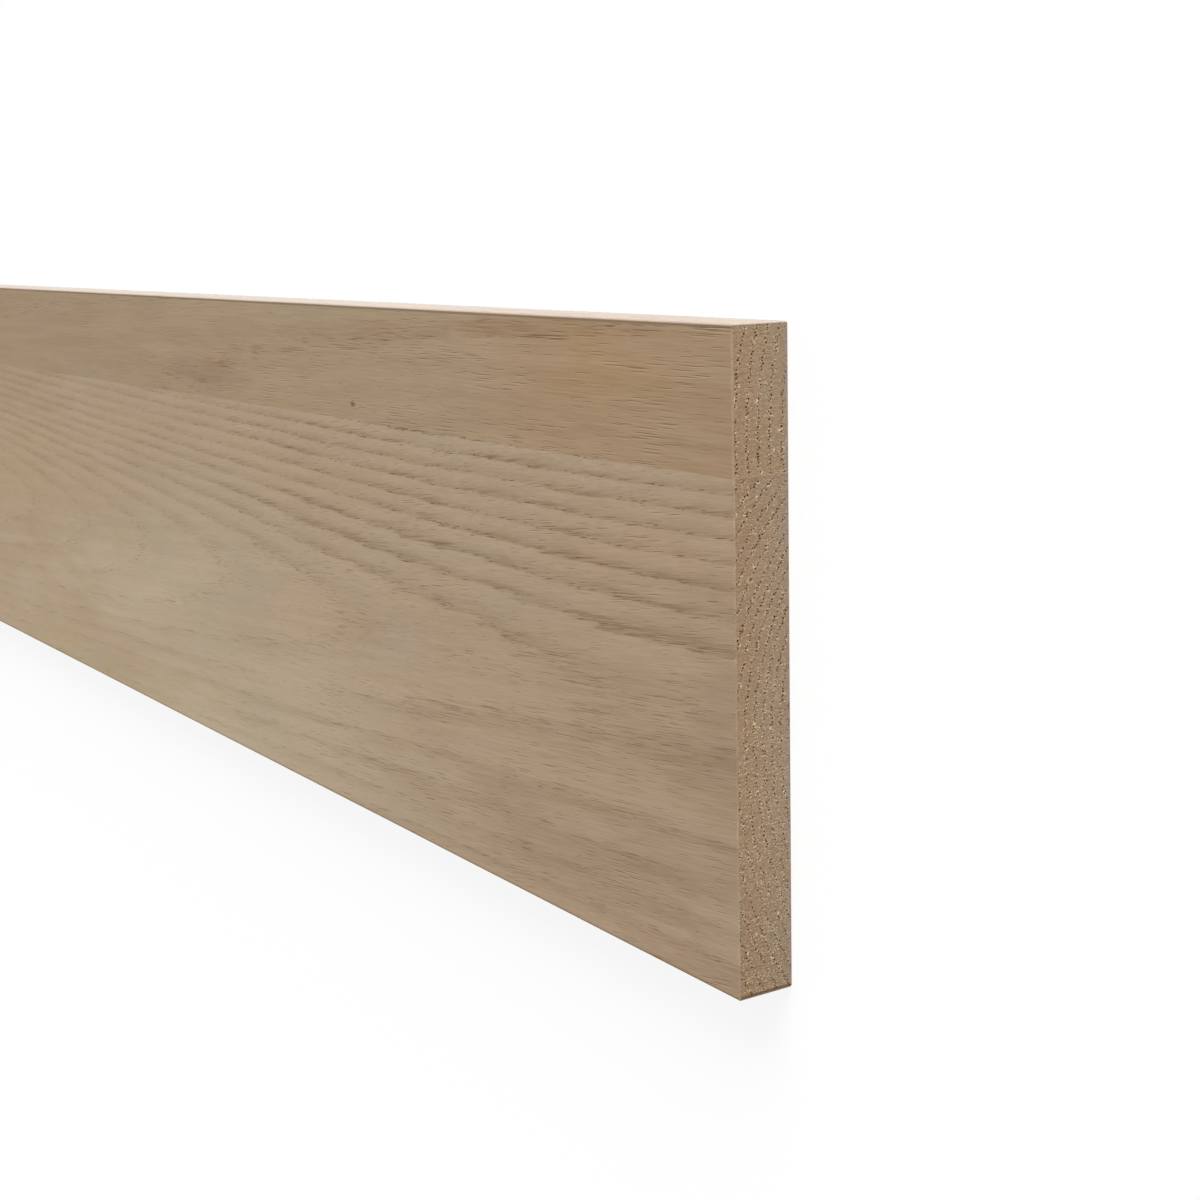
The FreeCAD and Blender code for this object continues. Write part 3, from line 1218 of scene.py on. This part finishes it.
def edge_masks(tree, position, stave):
    """Place the masks of a stave's outer edge."""
    feeds = {"Position": position, "Outer Y": stave.outer_y, "Outward": float(stave.outward)}
    return use_group(tree, outer_edge, feeds)


def shift(tree, colour, levels):
    """Lighten or darken a wood colour by a number of screen levels, the same in every channel."""
    step = times(tree, one_level, levels)
    return add_node(tree, "ShaderNodeVectorMath", {0: colour, 1: step}, operation="ADD").outputs[0]


def finish_surface(tree, shader, colour, roughness, height, depth, strength):
    """Feed colour, roughness and relief to the shader."""
    feed(tree, shader.inputs["Base Color"], colour)
    feed(tree, shader.inputs["Roughness"], roughness)
    bump = add_node(tree, "ShaderNodeBump", {"Height": height, "Distance": depth, "Strength": strength})
    feed(tree, shader.inputs["Normal"], bump.outputs[0])


# %% Planed wood
painted_lip_highlight, lip_cover = srgb(205, 186, 160), 0.28
patch_cover = 0.35
fibre_levels = 7.0
least_open = 0.10
planed_roughness = (0.58, 0.70)
vessel_relief, fibre_relief = -0.60, 0.12
planed_relief = 0.15 * MM


def stained(tree, position, stave, colour):
    """Lay a stave's stains over its colour, one after another."""
    for stain in stave.stains:
        mask = use_group(tree, stain_mask, {
            "Position": position, "Centre X": stain.centre_x, "Centre Y": stain.centre_y,
            "Half length": stain.half_length, "Half height": stain.half_height,
            "Core": stain.core, "Grain": stain.grain, "Depth": stain.depth})["Mask"]
        colour = veil(tree, colour, mask, stain.amount, stain.colour)
    return colour


def planed_wood(stave):
    material, tree, shader, position = start_material(f"{stave.node}_planed")
    log, rings = wire_rings(tree, position, stave, 1.0)
    vessels = use_group(tree, open_vessels, {
        "Year": rings["Year"], "Season": rings["Season"], "Across": log["Across"], "Along": log["Along"],
        "Depth": log["Depth"], "Ring width": stave.ring_width, "Summer spacing": stave.summer_spacing,
        "Summer length": stave.summer_length, "Summer bore": stave.summer_bore})
    tone = use_group(tree, fibre_and_tone, {
        "Radius": log["Radius"], "Around": log["Around"], "Across": log["Across"], "Along": log["Along"],
        "Pale from": stave.pale_from, "Pale to": stave.pale_to, "Pale least": stave.pale_least})
    wear = use_group(tree, arris_wear, {"Position": position})
    edge = edge_masks(tree, position, stave)
    colour = tint(tree, tone["Pale"], stave.brown_wood, stave.pale_wood)
    colour = veil(tree, colour, tone["Warm"], patch_cover, stave.warm_wood)
    colour = veil(tree, colour, tone["Grey"], patch_cover, stave.grey_wood)
    colour = stained(tree, position, stave, colour)
    colour = veil(tree, colour, rings["Cool"], stave.cool_amount, stave.cool_wood)
    colour = veil(tree, colour, rings["Spring"], stave.spring_amount, stave.spring_wood)
    colour = shift(tree, colour, calc(tree, "MULTIPLY", rings["Summer"], stave.summer_lift))
    colour = shift(tree, colour, calc(tree, "MULTIPLY", tone["Streak"], stave.streak))
    colour = shift(tree, colour, fade(tree, tone["Fibre"], 0.25, 0.75, -fibre_levels, fibre_levels))
    # painted highlight: the lower lip of each dash is painted paler, where it would catch the light
    colour = veil(tree, colour, vessels["Lip"], lip_cover, painted_lip_highlight)
    spring_open = calc(tree, "MULTIPLY_ADD", rings["Strength"], stave.spring_open, least_open)
    colour = veil(tree, colour, vessels["Spring vessel"], spring_open, stave.vessel_wood)
    colour = veil(tree, colour, vessels["Summer vessel"], stave.summer_open, stave.vessel_wood)
    # pale scuffed fibre at the arrises of the narrow stave, painted shade at those of the wide stave
    colour = veil(tree, colour, wear["Wear"], stave.arris_wear_and_shade_amount, stave.arris_wear_and_shade_wood)
    # a thin darker line on the face just before the outer arris
    colour = veil(tree, colour, edge["Arris"], stave.arris_amount, stave.arris_wood)
    # painted light on the outer edge: a painted highlight on the upper stave, painted shade at the lower
    # stave's arris
    edge_colour = tint(tree, edge["Back"], stave.edge_shade_and_highlight, stave.edge_back_tone_and_highlight)
    edge_cover = fade(tree, edge["Back"], 0.0, 1.0, stave.edge_shade_and_highlight_amount, stave.edge_back_tone_and_highlight_amount)
    colour = veil(tree, colour, edge["Edge"], edge_cover, edge_colour)
    roughness = fade(tree, tone["Fibre"], 0.2, 0.8, *planed_roughness)
    hollow = calc(tree, "MAXIMUM", vessels["Spring vessel"], vessels["Summer vessel"])
    threads = calc(tree, "MULTIPLY", tone["Fibre"], fibre_relief)
    relief = calc(tree, "MULTIPLY_ADD", hollow, vessel_relief, threads)
    finish_surface(tree, shader, colour, roughness, relief, planed_relief, 1.0)
    return material


# %% Sawn wood
torn_fibre_highlight, torn_fibre_highlight_cover = srgb(221, 201, 169), 0.9
dusty_rim = srgb(150, 141, 134)
sawn_ring_cover = 0.15
crumb_levels, foot_levels = 18.0, -6.0
pit_rim, pit_cover = (0.50, 0.64), 0.92
sawn_roughness = (0.78, 0.92)
crumb_relief, crumb_strength = 0.10 * MM, 0.6


def sawn_wood(stave):
    material, tree, shader, position = start_material(f"{stave.node}_sawn")
    _, rings = wire_rings(tree, position, stave, 0.0)
    wear = use_group(tree, arris_wear, {"Position": position})
    edge = edge_masks(tree, position, stave)
    saw = use_group(tree, sawn_surface, {"Position": position})
    hollow = add_node(tree, "ShaderNodeAttribute", attribute_name="hollow").outputs["Fac"]
    tuft = add_node(tree, "ShaderNodeAttribute", attribute_name="tuft").outputs["Fac"]
    greyed = calc(tree, "MULTIPLY", saw["Back half"], fade(tree, saw["Patches"], 0.40, 0.65, 0.5, 1.0))
    colour = tint(tree, greyed, stave.sawn_wood, stave.sawn_grey)
    colour = veil(tree, colour, rings["Spring"], sawn_ring_cover, stave.spring_wood)
    colour = shift(tree, colour, fade(tree, saw["Crumbs"], 0.25, 0.75, -crumb_levels, crumb_levels))
    colour = shift(tree, colour, calc(tree, "MULTIPLY", saw["Low"], foot_levels))
    # torn fibre on the tufts and pit lips is raised, and painted pale as a highlight of its lit side
    colour = tint(tree, fade(tree, tuft, 0.0, 0.6, 0.0, torn_fibre_highlight_cover), colour, torn_fibre_highlight)
    colour = tint(tree, fade(tree, hollow, *pit_rim, 0.0, pit_cover), colour, stave.vessel_wood)
    colour = tint(tree, saw["Back rim"], colour, dusty_rim)
    outermost = calc(tree, "MAXIMUM", edge["Edge"], edge["Arris"])
    # painted light at the end's outer edge: a painted highlight along its top, painted shade along its foot
    colour = veil(tree, colour, outermost, stave.sawn_arris_amount, stave.edge_shade_and_highlight)
    # pale scuffed fibre at the arrises of the narrow stave, painted shade at those of the wide stave
    colour = veil(tree, colour, wear["Wear"], stave.arris_wear_and_shade_amount, stave.arris_wear_and_shade_wood)
    roughness = fade(tree, saw["Crumbs"], 0.2, 0.8, *sawn_roughness)
    finish_surface(tree, shader, colour, roughness, saw["Crumbs"], crumb_relief, crumb_strength)
    return material


# %% Dress both staves
for stave in staves:
    for finish in (planed_wood(stave), sawn_wood(stave)):
        stave.piece.data.materials.append(finish)
        print("material:", finish.name, len(finish.node_tree.nodes), "nodes")

# %% [markdown]
# ## Floor and light
# The floor is white paper. Seen by the camera it mostly glows and is lit a little, so that it stays white
# yet still takes a pale shadow; to the light it is plain white and bounces softly. One broad lamp
# stands beyond the upper edge of the board, which makes that edge the brightest side, and an even sky
# fills the rest. Together they give the show face a level of one, so colours render as written.

# %% What is seen and what gives light
def grey(level):
    """A neutral colour of one linear level."""
    return (level, level, level, 1.0)


def seen_directly(tree):
    """One for rays that show the background: from the camera, in a gloss or through glass."""
    path = add_node(tree, "ShaderNodeLightPath").outputs
    mirrored = calc(tree, "MAXIMUM", path["Is Glossy Ray"], path["Is Transmission Ray"])
    return calc(tree, "MAXIMUM", path["Is Camera Ray"], mirrored)


def wire_background(tree, lighting, seen, output):
    """Use one shader to light the board and another where the background is seen directly."""
    feeds = {0: seen_directly(tree), 1: lighting.outputs[0], 2: seen.outputs[0]}
    mixed = add_node(tree, "ShaderNodeMixShader", feeds)
    add_node(tree, output, {"Surface": mixed.outputs[0]})


# %% Floor
floor_size = 12.0
floor_drop = 0.1 * MM
paper_level, lit_level, glow_strength = 0.8, 0.14, 0.87
half = floor_size / 2
floor_mesh = bpy.data.meshes.new("floor")
floor_corners = [(-half, -half, 0), (half, -half, 0), (half, half, 0), (-half, half, 0)]
floor_mesh.from_pydata(floor_corners, [], [(0, 1, 2, 3)])
floor = bpy.data.objects.new("floor", floor_mesh)
floor.location.z = -floor_drop
bpy.context.collection.objects.link(floor)


def white_floor():
    material = bpy.data.materials.new("white_floor")
    material.use_nodes = True
    tree = material.node_tree
    tree.nodes.clear()
    paper = add_node(tree, "ShaderNodeBsdfDiffuse", {"Color": grey(paper_level)})
    lit = add_node(tree, "ShaderNodeBsdfDiffuse", {"Color": grey(lit_level)})
    glow = add_node(tree, "ShaderNodeEmission", {"Color": grey(1.0), "Strength": glow_strength})
    shown = add_node(tree, "ShaderNodeAddShader", {0: lit.outputs[0], 1: glow.outputs[0]})
    wire_background(tree, paper, shown, "ShaderNodeOutputMaterial")
    return material


floor_mesh.materials.append(white_floor())
print(f"floor {floor_size:.0f} m wide, {floor_drop / MM:.1f} mm below the board")

# %% Light
key_from = Vector((0.267, 0.897, 0.352))
key_strength = 1.55
key_spread = math.radians(50)
sky_tint = (0.96, 0.98, 1.0, 1.0)
sky_strength = 0.39


def broad_lamp(name, direction, strength, spread):
    """A very broad lamp that shines from a direction with the same strength everywhere."""
    lamp = bpy.data.lights.new(name, "SUN")
    lamp.energy = strength * math.pi
    lamp.angle = spread
    holder = bpy.data.objects.new(name, lamp)
    holder.rotation_euler = (-direction).to_track_quat("-Z", "Y").to_euler()
    bpy.context.collection.objects.link(holder)


def even_sky():
    world = bpy.data.worlds.new("studio")
    world.use_nodes = True
    tree = world.node_tree
    tree.nodes.clear()
    fill = add_node(tree, "ShaderNodeBackground", {"Color": sky_tint, "Strength": sky_strength})
    white = add_node(tree, "ShaderNodeBackground", {"Color": grey(1.0), "Strength": 1.0})
    wire_background(tree, fill, white, "ShaderNodeOutputWorld")
    return world


broad_lamp("key_lamp", key_from, key_strength, key_spread)
bpy.context.scene.world = even_sky()
print("lights:", [item.name for item in bpy.data.lights])

# %% [markdown]
# ## The finished board
# The dressed staves stand for the imported solids, so their box has to be the same.
